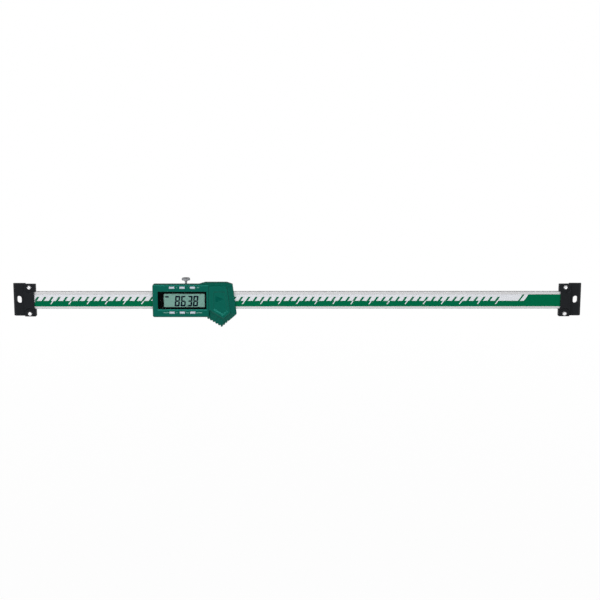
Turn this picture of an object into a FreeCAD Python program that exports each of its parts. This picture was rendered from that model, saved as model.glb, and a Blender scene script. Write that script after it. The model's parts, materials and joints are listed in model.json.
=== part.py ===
import FreeCAD, Part
import math
import os
from FreeCAD import Vector

# A digital linear scale for a machine: a steel beam with a printed measuring strip, clamped
# between two end brackets, and a display slider that runs along it and reads its place.
# Sizes are in millimetres. X runs along the beam, Z is up and the display faces -Y. The
# backs of the brackets lie in the plane y = 0 and the beam's centre line is at z = 0, x = 0
# midway between the brackets. Places on the slider are measured from its left edge.

# Clearances
RUN_GAP = 0.05          # sliding and turning fits on the beam and the lock screw
COVER_GAP = 0.15        # round the covers that slide by hand
SEAT_GAP = 0.05         # round pieces that are laid into a pocket
THREAD_GAP = 0.03       # between a screw's shank and its threaded hole
SCREW_CLEARANCE = 0.15  # between a screw's shank or head and a plain hole
BUTTON_GAP = 0.12       # round each button in its hole
BOARD_GAP = 0.4         # circuit board to the housing's walls
STOP_GAP = 0.25         # slider to bracket at each end of its travel

# Travel and the slider's place at rest
TRAVEL = 400.0
REST_TRAVEL = 106.5     # how far the slider stands from its left stop

# Beam, measuring strip and printed label
BEAM_WIDTH = 16.0
BEAM_THICKNESS = 3.5
BEAM_STANDOFF = 3.6     # mounting plane to the back of the beam
BEAM_CHAMFER = 0.4
STRIP_WIDTH = 10.8
STRIP_THICKNESS = 0.7
LABEL_THICKNESS = 0.2

# End brackets
BRACKET_EAR = 6.85      # how far a bracket reaches above and below the beam
FLANGE_WIDTH = 11.0
FLANGE_THICKNESS = 4.2
FLANGE_BEVEL = 2.0      # along the flange's outer upright edge
CLAMP_WIDTH = 10.05
CLAMP_WALL = 1.0        # clamp floor in front of the beam, under the screw heads
STRAP_RISE = 1.3        # how far the middle of the clamp stands above that floor
STRAP_SETBACK = 1.3     # the ears reach this much further along the beam than the middle
CLAMP_END_WALL = 1.4
CLAMP_EDGE = 0.4
TONGUE_DROP = 0.9       # the tongue behind the beam is this much shorter than the bracket
TONGUE_RELIEF = 0.8     # and stands this far off the mounting plane
SLOT_WIDTH = 4.5
SLOT_LENGTH = 7.0
SLOT_FROM_END = 5.3
BRACKET_SCREW_D = 2.0
BRACKET_SCREW_HEAD_D = 3.8
BRACKET_SCREW_TOP_D = 2.6
BRACKET_SCREW_HEAD = 1.5
BRACKET_SCREW_BRIM = 0.7
BRACKET_SCREW_CROSS = 2.2
BRACKET_SCREW_LENGTH = 6.4
BRACKET_SCREW_FROM_EAR = 5.55
BRACKET_SCREW_FROM_BEAM = 4.0
SCREW_POCKET_R = 5.2
CROSS_WIDTH = 0.7
CROSS_DEPTH = 0.8

# Slider frame, gib and lock screw
FRAME_WALL = 2.4
FRAME_RAIL = 5.2        # height of the frame's sides above and below the beam
FRAME_LEFT = 0.8
FRAME_FROM_RIGHT = 4.2
FRAME_LIP = 0.25        # the frame's front stands this far in front of the beam
FRAME_EDGE = 0.5
GIB_THICKNESS = 1.2
GIB_FROM_ENDS = 5.5
GIB_SCREW_D = 2.0
GIB_SCREW_FROM_END = 5.0    # the first gib screw, from the gib's left end
GIB_SCREW_FROM_LOCK = 8.0   # the second, past the lock screw
GIB_SCREW_SINK = 0.8
LOCK_X = 29.9
LOCK_STEM_D = 2.0
LOCK_HEAD_D = 7.6
LOCK_HEAD = 2.0
LOCK_HEAD_EDGE = 0.4
LOCK_HEAD_RISE = 2.8    # underside of the head above the housing's top
LOCK_TIP_GAP = 0.25
LOCK_COLLAR_D = 3.6
LOCK_COLLAR = 0.8
KNURL_COUNT = 18
KNURL_DEPTH = 0.25
MOUNT_HOLE_D = 2.5      # tapped M3
MOUNT_HOLE_SPACING_X = 40.0
MOUNT_HOLE_SPACING_Z = 10.0
HOUSING_SCREW_D = 2.0
HOUSING_SCREW_HEAD_D = 3.4
HOUSING_SCREW_HEAD = 1.2
HOUSING_SCREW_CROSS = 2.2
HOUSING_SCREW_BITE = 3.2
HOUSING_SCREW_FROM_LEFT = 3.2
HOUSING_SCREW_FROM_RIGHT = 13.0
HOUSING_SCREW_FROM_EDGE = 2.0
BOSS_R = 2.2
BOSS_DEPTH = 4.2

# Display housing
HOUSING_OVERLAP = 1.8   # how far the housing stands past the frame's height, at each side
HOUSING_RISE = 0.6      # the housing's middle sits this far above the beam's
HOUSING_DEPTH = 7.2
PANEL_LENGTH = 50.85    # display part, up to the battery cover
HOUSING_CORNER = 1.6
HOUSING_EDGE = 1.3
FRONT_WALL = 1.4
SIDE_WALL = 1.2
LIP_BACK = 0.8          # a lip on the top wall reaches this far back over the frame
LIP_DROP = 0.4          # the lip is this much lower than the housing's top
LIP_GAP = 0.15          # and clears the frame by this much
WINDOW_FROM_LEFT = 4.8
WINDOW_FROM_RIGHT = 2.0
WINDOW_FROM_TOP = 6.5
WINDOW_FROM_BOTTOM = 7.3
WINDOW_SINK = 0.2
WINDOW_BEVEL = 0.8
WINDOW_BEVEL_DEPTH = 0.35
BEZEL_LEFT = 5.35       # black border at the left of the display, then at its other sides
BEZEL_RIGHT = 1.6
BEZEL_TOP = 1.8
BEZEL_BOTTOM = 1.8
BEZEL_THICKNESS = 0.8
BEZEL_FLANGE = 0.7
PANEL_THICKNESS = 1.6
PANEL_MARGIN = 1.8      # display glass behind the bezel, round its open part
ZEBRA_WIDTH = 1.3
ZEBRA_FROM_EDGE = 1.25  # middle of a connector strip, from the display glass's edge

# Circuit board, keypads and buttons
BOARD_THICKNESS = 0.8
PORT_TAB_MARGIN = 0.9
BATTERY_TAB_MARGIN = 0.8
CHIP_SIZE = 9.0
CHIP_RISE = 1.4
BUTTON_COUNT = 3
BUTTON_FROM_LEFT = 17.6
BUTTON_PITCH = 9.4
BUTTON_WIDTH = 4.8
BUTTON_HEIGHT = 2.0
BUTTON_FROM_TOP = 2.7       # upper row below the housing's top edge
BUTTON_FROM_BOTTOM = 4.35   # lower row above its bottom edge
BUTTON_PROUD = 0.45
BUTTON_EDGE = 0.35
BUTTON_SHOULDER = 0.9
BUTTON_SHOULDER_DEPTH = 0.6
PLUNGER_WIDTH = 2.4
PLUNGER_HEIGHT = 1.6
KEYPAD_BASE = 0.7
KEYPAD_MARGIN = 2.6
DOME_RISE = 1.35
DOME_WIDTH = 1.9
DOME_INSET = 0.25

# Battery and its contacts
BATTERY_D = 11.6
BATTERY_THICKNESS = 5.4
BATTERY_RISE = 0.4      # above the housing's middle
BATTERY_GAP = 0.3
BATTERY_WALL = 2.45     # display part to the battery's bay
BATTERY_END_WALL = 10.5     # the bay to the slider's right end
BATTERY_STEP = 0.5      # height of the smaller negative face
BATTERY_STEP_INSET = 1.0
BATTERY_EDGE = 0.5
CONTACT_THICKNESS = 0.2
CONTACT_LENGTH = 7.0
CONTACT_WIDTH = 2.4
CLIP_THICKNESS = 0.3
CLIP_WIDTH = 4.0
CLIP_HEIGHT = 4.3
CLIP_ROOM = 0.4

# Battery end of the housing: its base outline, then how far each step is set in from it
POD_OVERLAP = 8.85      # how far its outline starts inside the display part
POD_LEAN = 3.7          # the right side's top leans in by this much
POD_CORNER_RISE = 2.2   # right corner above the display part's bottom edge
POD_TIP_FROM_RIGHT = 13.7
POD_TIP_DROP = 9.8      # tip below the display part's bottom edge
POD_LEFT_RISE = 2.7
POD_WALL = 2.85         # upright part of the side wall, before the bevel starts
POD_LEDGE = 5.75        # the ledge that the battery cover slides on
POD_TIP_ROUND = 1.0
POD_CORNER_ROUND = 1.4
COVER_FROM_TOP = 2.1
COVER_FROM_RIGHT = 5.2
COVER_FROM_LOWER_RIGHT = 5.0
COVER_FROM_LOWER_LEFT = 8.0
COVER_RIM = 0.8
COVER_ROOF = 0.75       # cover in front of the battery, behind the dish
COVER_BEVEL = 0.7
COVER_BEVEL_DEPTH = 0.6
SKIRT_WIDTH = 6.9       # right end of the cover, down to the housing's side wall
SKIRT_FROM_TOP = 3.6
SKIRT_FROM_CORNER = 2.0
DISH_FROM_TOP = 5.2
DISH_FROM_RIGHT = 2.2
DISH_FROM_LOWER = 2.5
DISH_FROM_LEFT = 4.15
DISH_DEPTH = 0.5
DISH_INSET = 0.7        # width of the dish's sloping sides
DISH_LOWER_INSET = 1.5  # and of its two lower sides
ARROW_FROM_LEFT = 1.15  # arrow from the left and the top of the dish's floor
ARROW_FROM_TOP = 3.2
ARROW_LENGTH = 7.4
ARROW_HEIGHT = 6.4
ARROW_DEPTH = 0.2
UPPER_RAIL_FROM_BAY = 1.95
LOWER_RAIL_FROM_BAY = 0.85
UPPER_RAIL_FROM_LEFT = 1.15     # from the cover's left edge
LOWER_RAIL_FROM_LEFT = 4.65
RAIL_FROM_RIGHT = 10.4
RAIL_NECK = 1.4
RAIL_HEAD = 2.6
RAIL_NECK_DEPTH = 0.8
RAIL_HEAD_DEPTH = 0.8
GRIP_BACK = 2.8         # the thumb grip reaches this far back below the frame
GRIP_GAP = 0.4          # and clears the frame's bottom by this much
RIB_PITCH = 2.85
RIB_GROOVE = 1.3
RIB_DEPTH = 0.7
RIB_FROM_TIP = 1.9
LEFT_RIB_COUNT = 6
RIGHT_RIB_COUNT = 3

# Data port in the hump on top
HUMP_RISE = 1.1         # above the display part's top
HUMP_RAMP_LEFT = 5.5
HUMP_RAMP_RIGHT = 5.2
HUMP_END_DROP = 1.2
HUMP_BACK = 3.15        # the hump reaches this far back over the frame
PORT_FROM_PANEL = 0.3
PORT_LENGTH = 6.0
PORT_DEPTH = 2.0
PORT_WELL = 3.2         # hump's top to the foot of the port
PORT_FROM_BACK = 0.25
PORT_RISE = 1.6
PIN_COUNT = 4
PIN_WIDTH = 0.6
PIN_RISE = 0.5
PORT_COVER_LAP = 1.2    # the port cover reaches this far past the port at each end
PORT_COVER_OVERRUN = 0.2    # and opens this much further than it has to
PORT_COVER_THICKNESS = 0.8
PORT_COVER_LIP = 0.4
PORT_COVER_LIP_THICKNESS = 0.4

# Levels along Y, from the mounting plane to the front
BEAM_BACK = -BEAM_STANDOFF
BEAM_FRONT = BEAM_BACK - BEAM_THICKNESS
CLAMP_FLOOR = BEAM_FRONT - CLAMP_WALL
CLAMP_FRONT = CLAMP_FLOOR - STRAP_RISE
CHANNEL_BACK = BEAM_BACK + RUN_GAP
FRAME_BACK = CHANNEL_BACK + FRAME_WALL
FRAME_FRONT = BEAM_FRONT - FRAME_LIP
HOUSING_FRONT = FRAME_FRONT - HOUSING_DEPTH
CAVITY_FRONT = HOUSING_FRONT + FRONT_WALL
BEZEL_BACK = CAVITY_FRONT + BEZEL_THICKNESS
PANEL_BACK = BEZEL_BACK + PANEL_THICKNESS
BOARD_FRONT = FRAME_FRONT - BOARD_THICKNESS
BATTERY_BACK = BOARD_FRONT - CONTACT_THICKNESS
BATTERY_FRONT = BATTERY_BACK - BATTERY_THICKNESS
WALL_FRONT = FRAME_FRONT - POD_WALL
LEDGE = FRAME_FRONT - POD_LEDGE
COVER_BACK = LEDGE - SEAT_GAP
DISH_FLOOR = BATTERY_FRONT - SEAT_GAP - COVER_ROOF
COVER_FRONT = DISH_FLOOR - DISH_DEPTH
HUMP_REAR = FRAME_FRONT + HUMP_BACK
DOME_TOP = BOARD_FRONT - KEYPAD_BASE - DOME_RISE
LOCK_Y = (BEAM_FRONT + BEAM_BACK) / 2
PORT_BACK = FRAME_FRONT - PORT_FROM_BACK
PORT_FRONT = PORT_BACK - PORT_DEPTH
PORT_Y = (PORT_BACK + PORT_FRONT) / 2

# Places along Z
BEAM_HALF = BEAM_WIDTH / 2
STRIP_HALF = STRIP_WIDTH / 2
BRACKET_HALF = BEAM_HALF + BRACKET_EAR
BRACKET_SCREW_Z = BEAM_HALF + BRACKET_SCREW_FROM_BEAM
FRAME_HALF = BEAM_HALF + FRAME_RAIL
GIB_BOTTOM = BEAM_HALF + RUN_GAP
GIB_TOP = GIB_BOTTOM + GIB_THICKNESS
GIB_POCKET_TOP = GIB_TOP + SEAT_GAP
HOUSING_SCREW_Z = FRAME_HALF - HOUSING_SCREW_FROM_EDGE
HOUSING_BOTTOM = HOUSING_RISE - FRAME_HALF - HOUSING_OVERLAP
HOUSING_TOP = HOUSING_RISE + FRAME_HALF + HOUSING_OVERLAP
LOCK_HEAD_Z = HOUSING_TOP + LOCK_HEAD_RISE
WINDOW_BOTTOM = HOUSING_BOTTOM + WINDOW_FROM_BOTTOM
WINDOW_TOP = HOUSING_TOP - WINDOW_FROM_TOP
GLASS_BOTTOM = WINDOW_BOTTOM + BEZEL_BOTTOM
GLASS_TOP = WINDOW_TOP - BEZEL_TOP
BOARD_BOTTOM = HOUSING_BOTTOM + SIDE_WALL + BOARD_GAP
BOARD_TOP = HOUSING_TOP - SIDE_WALL - BOARD_GAP
BUTTON_Z = {"upper": HOUSING_TOP - BUTTON_FROM_TOP, "lower": HOUSING_BOTTOM + BUTTON_FROM_BOTTOM}
BATTERY_Z = HOUSING_RISE + BATTERY_RISE
BAY_R = BATTERY_D / 2 + BATTERY_GAP
POD_TOP = HOUSING_TOP + HUMP_RISE
POD_CORNER_Z = HOUSING_BOTTOM + POD_CORNER_RISE
POD_TIP_Z = HOUSING_BOTTOM - POD_TIP_DROP
POD_LEFT_Z = HOUSING_BOTTOM + POD_LEFT_RISE
SKIRT_TOP = POD_TOP - SKIRT_FROM_TOP
SKIRT_BOTTOM = POD_CORNER_Z + SKIRT_FROM_CORNER
RAIL_HALF = RAIL_HEAD / 2 + COVER_GAP
UPPER_RAIL_Z = BATTERY_Z + BAY_R + UPPER_RAIL_FROM_BAY + RAIL_HALF
LOWER_RAIL_Z = BATTERY_Z - BAY_R - LOWER_RAIL_FROM_BAY - RAIL_HALF
PORT_FOOT = POD_TOP - PORT_WELL

# Places along X on the slider
BATTERY_X = PANEL_LENGTH + BATTERY_WALL + BAY_R
SLIDER_LENGTH = BATTERY_X + BAY_R + BATTERY_END_WALL
FRAME_RIGHT = SLIDER_LENGTH - FRAME_FROM_RIGHT
GIB_LEFT = FRAME_LEFT + GIB_FROM_ENDS
GIB_RIGHT = FRAME_RIGHT - GIB_FROM_ENDS
GIB_SCREW_X = (GIB_LEFT + GIB_SCREW_FROM_END, LOCK_X + GIB_SCREW_FROM_LOCK)
MOUNT_HOLE_X = (FRAME_LEFT + FRAME_RIGHT) / 2
HOUSING_SCREW_X = (HOUSING_SCREW_FROM_LEFT, SLIDER_LENGTH - HOUSING_SCREW_FROM_RIGHT)
CAVITY_RIGHT = PANEL_LENGTH - SIDE_WALL
WINDOW_LEFT = WINDOW_FROM_LEFT
WINDOW_RIGHT = PANEL_LENGTH - WINDOW_FROM_RIGHT
GLASS_LEFT = WINDOW_LEFT + BEZEL_LEFT
GLASS_RIGHT = WINDOW_RIGHT - BEZEL_RIGHT
BUTTON_X = [BUTTON_FROM_LEFT + number * BUTTON_PITCH for number in range(BUTTON_COUNT)]
BOARD_LEFT = SIDE_WALL + BOARD_GAP
POD_LEFT = PANEL_LENGTH - POD_OVERLAP
POD_TOP_RIGHT = SLIDER_LENGTH - POD_LEAN
POD_TIP_X = SLIDER_LENGTH - POD_TIP_FROM_RIGHT
COVER_LEFT = PANEL_LENGTH + COVER_GAP
RAIL_RIGHT = SLIDER_LENGTH - RAIL_FROM_RIGHT
HUMP_FLAT_LEFT = POD_LEFT + HUMP_RAMP_LEFT
HUMP_FLAT_RIGHT = POD_TOP_RIGHT - HUMP_RAMP_RIGHT
PORT_LEFT = PANEL_LENGTH + PORT_FROM_PANEL
PORT_RIGHT = PORT_LEFT + PORT_LENGTH
PORT_COVER_LEFT = PORT_LEFT - PORT_COVER_LAP
PORT_COVER_RIGHT = PORT_RIGHT + PORT_COVER_LAP
PORT_COVER_TRAVEL = PORT_LENGTH + PORT_COVER_LAP + PORT_COVER_OVERRUN

# Places along X on the beam
EAR_X = (TRAVEL + SLIDER_LENGTH) / 2 + STOP_GAP
FLANGE_X = EAR_X + CLAMP_WIDTH
END_X = FLANGE_X + FLANGE_WIDTH
BEAM_END = FLANGE_X - CLAMP_END_WALL - SEAT_GAP
SLIDER_X = STOP_GAP + REST_TRAVEL - EAR_X

BEYOND = 20.0           # how far a cut runs past the solid that it goes through
SAME = 1e-6             # two places closer than this are one place

ALONG_X = Vector(1, 0, 0)
ALONG_Y = Vector(0, 1, 0)
ALONG_Z = Vector(0, 0, 1)


def block(x0, x1, y0, y1, z0, z1):
    """A box between two opposite corners, in either order."""
    corner = Vector(min(x0, x1), min(y0, y1), min(z0, z1))
    return Part.makeBox(abs(x1 - x0), abs(y1 - y0), abs(z1 - z0), corner)


def flat(corners):
    """A flat face with straight edges."""
    return Part.Face(Part.makePolygon(corners + corners[:1]))


def plate(points, y0, y1):
    """An outline of (x, z) points made solid between two levels."""
    return flat([Vector(x, y0, z) for x, z in points]).extrude(Vector(0, y1 - y0, 0))


def taper(points0, y0, points1, y1):
    """A solid between an outline at y0 and one at y1 whose edges are parallel to the first's."""
    low = [Vector(x, y0, z) for x, z in points0]
    high = [Vector(x, y1, z) for x, z in points1]
    faces = [flat(low), flat(high)]
    for here in range(len(low)):
        faces.append(flat([low[here - 1], low[here], high[here], high[here - 1]]))
    return Part.Solid(Part.Shell(faces))


def prism_along_x(points, x0, x1):
    """An outline of (y, z) points made solid from x0 to x1."""
    return flat([Vector(x0, y, z) for y, z in points]).extrude(Vector(x1 - x0, 0, 0))


def prism_along_z(points, z0, z1):
    """An outline of (x, y) points made solid from z0 to z1."""
    return flat([Vector(x, y, z0) for x, y in points]).extrude(Vector(0, 0, z1 - z0))


def rod(x, z, radius, y0, y1):
    """A cylinder along Y."""
    return Part.makeCylinder(radius, abs(y1 - y0), Vector(x, min(y0, y1), z), Vector(0, 1, 0))


def post(x, y, radius, z0, z1):
    """A cylinder along Z."""
    return Part.makeCylinder(radius, abs(z1 - z0), Vector(x, y, min(z0, z1)), Vector(0, 0, 1))


def turned(profile, foot, axis):
    """A solid turned about an axis through a foot: (radius, height) points of its profile."""
    corners = [foot + ALONG_X * radius + axis * height for radius, height in profile]
    return flat(corners).revolve(foot, axis, 360)


def obround(x, z, width, length, y0, y1):
    """An upright slot's solid: two round ends joined by straight sides."""
    reach = (length - width) / 2
    middle = block(x - width / 2, x + width / 2, y0, y1, z - reach, z + reach)
    ends = [rod(x, z + way * reach, width / 2, y0, y1) for way in (-1, 1)]
    return middle.multiFuse(ends).removeSplitter()


def rectangle(x0, x1, z0, z1):
    """The corners of an upright rectangle, clockwise from its top left."""
    return [(x0, z1), (x1, z1), (x1, z0), (x0, z0)]


def square(middle, width):
    """A square about a point."""
    (x, z), half = middle, width / 2
    return rectangle(x - half, x + half, z - half, z + half)


def grown(rect, margin):
    """A rectangle of that kind, larger by a margin on every side."""
    (x0, z1), (x1, _), (_, z0), _ = rect
    return rectangle(x0 - margin, x1 + margin, z0 - margin, z1 + margin)


def inset(points, distances):
    """A clockwise outline with each edge moved inwards, parallel to itself."""
    lines = []
    for start, end, distance in zip(points, points[1:] + points[:1], distances):
        run, rise = end[0] - start[0], end[1] - start[1]
        length = math.hypot(run, rise)
        inward = (rise / length, -run / length)
        lines.append((inward, inward[0] * start[0] + inward[1] * start[1] + distance))
    corners = []
    for (n0, d0), (n1, d1) in zip(lines[-1:] + lines[:-1], lines):
        cross = n0[0] * n1[1] - n0[1] * n1[0]
        corners.append(((d0 * n1[1] - d1 * n0[1]) / cross, (n0[0] * d1 - n1[0] * d0) / cross))
    return corners


def edges_along(shape, axis, **places):
    """Straight edges along one axis, at the given places on the other axes."""
    found = []
    for edge in shape.Edges:
        ends = [vertex.Point for vertex in edge.Vertexes]
        if len(ends) < 2:
            continue
        way = ends[1] - ends[0]
        if abs(way.normalize().dot(axis)) < 1 - SAME:
            continue
        if all(abs(getattr(ends[0], name) - place) < SAME for name, place in places.items()):
            found.append(edge)
    return found


def beam():
    """The steel bar: a flat section with chamfered edges and a groove for the strip."""
    groove = BEAM_FRONT + STRIP_THICKNESS + LABEL_THICKNESS
    chamfer = BEAM_CHAMFER
    section = [
        (BEAM_BACK, -BEAM_HALF + chamfer), (BEAM_BACK, BEAM_HALF - chamfer),
        (BEAM_BACK - chamfer, BEAM_HALF), (BEAM_FRONT + chamfer, BEAM_HALF),
        (BEAM_FRONT, BEAM_HALF - chamfer), (BEAM_FRONT, STRIP_HALF),
        (groove, STRIP_HALF), (groove, -STRIP_HALF),
        (BEAM_FRONT, -STRIP_HALF), (BEAM_FRONT, -BEAM_HALF + chamfer),
        (BEAM_FRONT + chamfer, -BEAM_HALF), (BEAM_BACK - chamfer, -BEAM_HALF),
    ]
    return prism_along_x(section, -BEAM_END, BEAM_END)


def scale_strip():
    """The etched measuring strip that lies in the beam's groove."""
    back = BEAM_FRONT + STRIP_THICKNESS + LABEL_THICKNESS
    half = STRIP_HALF - SEAT_GAP
    return block(-BEAM_END, BEAM_END, back, back - STRIP_THICKNESS, -half, half)


def scale_label():
    """The printed film over the strip, flush with the beam's front."""
    half = STRIP_HALF - SEAT_GAP
    back = BEAM_FRONT + LABEL_THICKNESS
    return block(-BEAM_END, BEAM_END, back, BEAM_FRONT, -half, half)


def bracket_base():
    """Right end: the bolted flange and the tongue that carries the beam's back."""
    flange = block(FLANGE_X, END_X, -FLANGE_THICKNESS, 0, -BRACKET_HALF, BRACKET_HALF)
    flange = flange.makeChamfer(FLANGE_BEVEL, edges_along(flange, ALONG_Z, x=END_X, y=-FLANGE_THICKNESS))
    tongue_half = BRACKET_HALF - TONGUE_DROP
    tongue = block(EAR_X + STRAP_SETBACK, FLANGE_X, BEAM_BACK, -TONGUE_RELIEF, -tongue_half, tongue_half)
    base = flange.fuse(tongue).removeSplitter()
    slot_x = END_X - SLOT_FROM_END
    base = base.cut(obround(slot_x, 0, SLOT_WIDTH, SLOT_LENGTH, BEYOND, -BEYOND))
    for way in (-1, 1):
        thread = BRACKET_SCREW_D / 2
        base = base.cut(rod(EAR_X + BRACKET_SCREW_FROM_EAR, way * BRACKET_SCREW_Z, thread, BEYOND, -BEYOND))
    return base


def bracket_clamp():
    """Right end: the cap that holds the beam down, with a pocket for a screw in each ear."""
    clamp = block(EAR_X, FLANGE_X, BEAM_BACK, CLAMP_FRONT, -BRACKET_HALF, BRACKET_HALF)
    rims = []
    for way in (-1, 1):
        rims += edges_along(clamp, ALONG_Y, x=EAR_X, z=way * BRACKET_HALF)
    clamp = clamp.makeChamfer(CLAMP_EDGE, rims)
    shoulder = block(FLANGE_X - SEAT_GAP, FLANGE_X, BEAM_BACK, -FLANGE_THICKNESS, -BEYOND, BEYOND)
    half = BEAM_HALF + SEAT_GAP
    channel_end = FLANGE_X - CLAMP_END_WALL
    channel = block(EAR_X - BEYOND, channel_end, BEAM_BACK + BEYOND, BEAM_FRONT, -half, half)
    notch = block(EAR_X - BEYOND, EAR_X + STRAP_SETBACK, BEYOND, -BEYOND, -half, half)
    ear_step = block(EAR_X, EAR_X + STRAP_SETBACK, CLAMP_FLOOR, -BEYOND, -BRACKET_HALF, BRACKET_HALF)
    clamp = clamp.cut([shoulder, channel, notch, ear_step])
    for way in (-1, 1):
        x, z = EAR_X + BRACKET_SCREW_FROM_EAR, way * BRACKET_SCREW_Z
        pocket = rod(x, z, SCREW_POCKET_R, CLAMP_FLOOR, -BEYOND)
        mouth = block(x - SCREW_POCKET_R, x + SCREW_POCKET_R, CLAMP_FLOOR, -BEYOND, z, z + way * BEYOND)
        clamp = clamp.cut([pocket, mouth])
        clamp = clamp.cut(rod(x, z, BRACKET_SCREW_D / 2 + SCREW_CLEARANCE, BEYOND, -BEYOND))
    return clamp


def cross_recess(x, z, floor, mouth, size):
    """The driver's cut in a cross-head screw, between two levels."""
    arm, half = size / 2, CROSS_WIDTH / 2
    level = block(x - arm, x + arm, floor, mouth, z - half, z + half)
    upright = block(x - half, x + half, floor, mouth, z - arm, z + arm)
    return level.fuse(upright)


def bracket_screw(x, z):
    """A pan-head screw through a clamp's ear."""
    radius, thread = BRACKET_SCREW_HEAD_D / 2, BRACKET_SCREW_D / 2 - THREAD_GAP
    profile = [
        (0, -BRACKET_SCREW_LENGTH), (thread, -BRACKET_SCREW_LENGTH), (thread, 0), (radius, 0),
        (radius, BRACKET_SCREW_BRIM), (BRACKET_SCREW_TOP_D / 2, BRACKET_SCREW_HEAD), (0, BRACKET_SCREW_HEAD),
    ]
    screw = turned(profile, Vector(x, CLAMP_FLOOR, z), -ALONG_Y)
    floor = CLAMP_FLOOR - BRACKET_SCREW_HEAD + CROSS_DEPTH
    return screw.cut(cross_recess(x, z, floor, -BEYOND, BRACKET_SCREW_CROSS))


def bracket_screws():
    """Two screws at each end of the beam."""
    reach = EAR_X + BRACKET_SCREW_FROM_EAR
    places = [(x, z) for x in (-reach, reach) for z in (-BRACKET_SCREW_Z, BRACKET_SCREW_Z)]
    return Part.makeCompound([bracket_screw(x, z) for x, z in places])


def mirrored(shape):
    """The same piece at the left end."""
    return shape.mirror(Vector(0, 0, 0), ALONG_X)


def on_slider(shape):
    """A piece of the slider, moved from the slider's own left edge to its place at rest."""
    return shape.translated(Vector(SLIDER_X, 0, 0))


def housing_screw_places():
    return [(x, z) for x in HOUSING_SCREW_X for z in (-HOUSING_SCREW_Z, HOUSING_SCREW_Z)]


def slider_frame():
    """The steel channel that runs on the beam, open to the front, with its tapped holes."""
    frame = block(FRAME_LEFT, FRAME_RIGHT, FRAME_BACK, FRAME_FRONT, -FRAME_HALF, FRAME_HALF)
    rims = []
    for way in (-1, 1):
        rims += edges_along(frame, ALONG_X, y=FRAME_BACK, z=way * FRAME_HALF)
    frame = frame.makeChamfer(FRAME_EDGE, rims)
    half = BEAM_HALF + RUN_GAP
    frame = frame.cut(block(-BEYOND, SLIDER_LENGTH + BEYOND, CHANNEL_BACK, -BEYOND, -half, half))
    gib_pocket = block(
        GIB_LEFT - SEAT_GAP, GIB_RIGHT + SEAT_GAP, CHANNEL_BACK, -BEYOND, 0, GIB_POCKET_TOP)
    frame = frame.cut(gib_pocket)
    frame = frame.cut(post(LOCK_X, LOCK_Y, LOCK_STEM_D / 2 + RUN_GAP, 0, BEYOND))
    for x in GIB_SCREW_X:
        frame = frame.cut(post(x, LOCK_Y, GIB_SCREW_D / 2, 0, BEYOND))
    for x, z in housing_screw_places():
        frame = frame.cut(rod(x, z, HOUSING_SCREW_D / 2 + SCREW_CLEARANCE, BEYOND, -BEYOND))
        head_seat = FRAME_BACK - HOUSING_SCREW_HEAD
        frame = frame.cut(rod(x, z, HOUSING_SCREW_HEAD_D / 2 + SCREW_CLEARANCE, BEYOND, head_seat))
    for x_way in (-1, 1):
        for z_way in (-1, 1):
            x = MOUNT_HOLE_X + x_way * MOUNT_HOLE_SPACING_X / 2
            z = z_way * MOUNT_HOLE_SPACING_Z / 2
            frame = frame.cut(rod(x, z, MOUNT_HOLE_D / 2, BEYOND, CHANNEL_BACK - RUN_GAP))
    return frame


def gib_strip():
    """The bronze strip that takes up play between the frame and the beam's top edge."""
    return block(GIB_LEFT, GIB_RIGHT, CHANNEL_BACK - SEAT_GAP, BEAM_FRONT, GIB_BOTTOM, GIB_TOP)


def gib_screws():
    """Two grub screws with a driver slot, set against the gib from above."""
    screws = []
    top = FRAME_HALF - GIB_SCREW_SINK
    for x in GIB_SCREW_X:
        screw = post(x, LOCK_Y, GIB_SCREW_D / 2 - THREAD_GAP, GIB_TOP, top)
        half = CROSS_WIDTH / 2
        slot = block(x - BEYOND, x + BEYOND, LOCK_Y - half, LOCK_Y + half, top - CROSS_DEPTH, BEYOND)
        screws.append(screw.cut(slot))
    return Part.makeCompound(screws)


def lock_screw():
    """The thumb screw that clamps the slider: a thin knurled head on a slim stem."""
    tip = GIB_TOP + LOCK_TIP_GAP
    head_top = LOCK_HEAD_Z + LOCK_HEAD
    radius, stem, collar = LOCK_HEAD_D / 2, LOCK_STEM_D / 2, LOCK_COLLAR_D / 2
    edge = LOCK_HEAD_EDGE
    collar_bottom = LOCK_HEAD_Z - LOCK_COLLAR
    profile = [
        (0, tip), (stem, tip), (stem, collar_bottom), (collar, collar_bottom), (collar, LOCK_HEAD_Z),
        (radius, LOCK_HEAD_Z), (radius, head_top - edge), (radius - edge, head_top), (0, head_top),
    ]
    screw = turned(profile, Vector(LOCK_X, LOCK_Y, 0), ALONG_Z)
    step = 2 * math.pi / KNURL_COUNT
    cuts = []
    for number in range(KNURL_COUNT):
        corners = []
        for share, depth in ((0, -KNURL_DEPTH), (0.5, KNURL_DEPTH), (-0.5, KNURL_DEPTH)):
            turn = (number + share) * step
            reach = radius + depth
            corners.append((LOCK_X + reach * math.cos(turn), LOCK_Y + reach * math.sin(turn)))
        cuts.append(prism_along_z(corners, LOCK_HEAD_Z - KNURL_DEPTH, head_top + KNURL_DEPTH))
    return screw.cut(cuts)


def pod_base():
    """Clockwise outline of the battery end where it meets the frame's front."""
    return [
        (POD_LEFT, POD_TOP), (POD_TOP_RIGHT, POD_TOP), (SLIDER_LENGTH, POD_CORNER_Z),
        (POD_TIP_X, POD_TIP_Z), (POD_LEFT, POD_LEFT_Z),
    ]


def cover_outline():
    """Outline of the battery cover, each edge parallel to the battery end's base."""
    return inset(pod_base(), [
        COVER_FROM_TOP, COVER_FROM_RIGHT, COVER_FROM_LOWER_RIGHT, COVER_FROM_LOWER_LEFT,
        COVER_LEFT - POD_LEFT])


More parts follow.
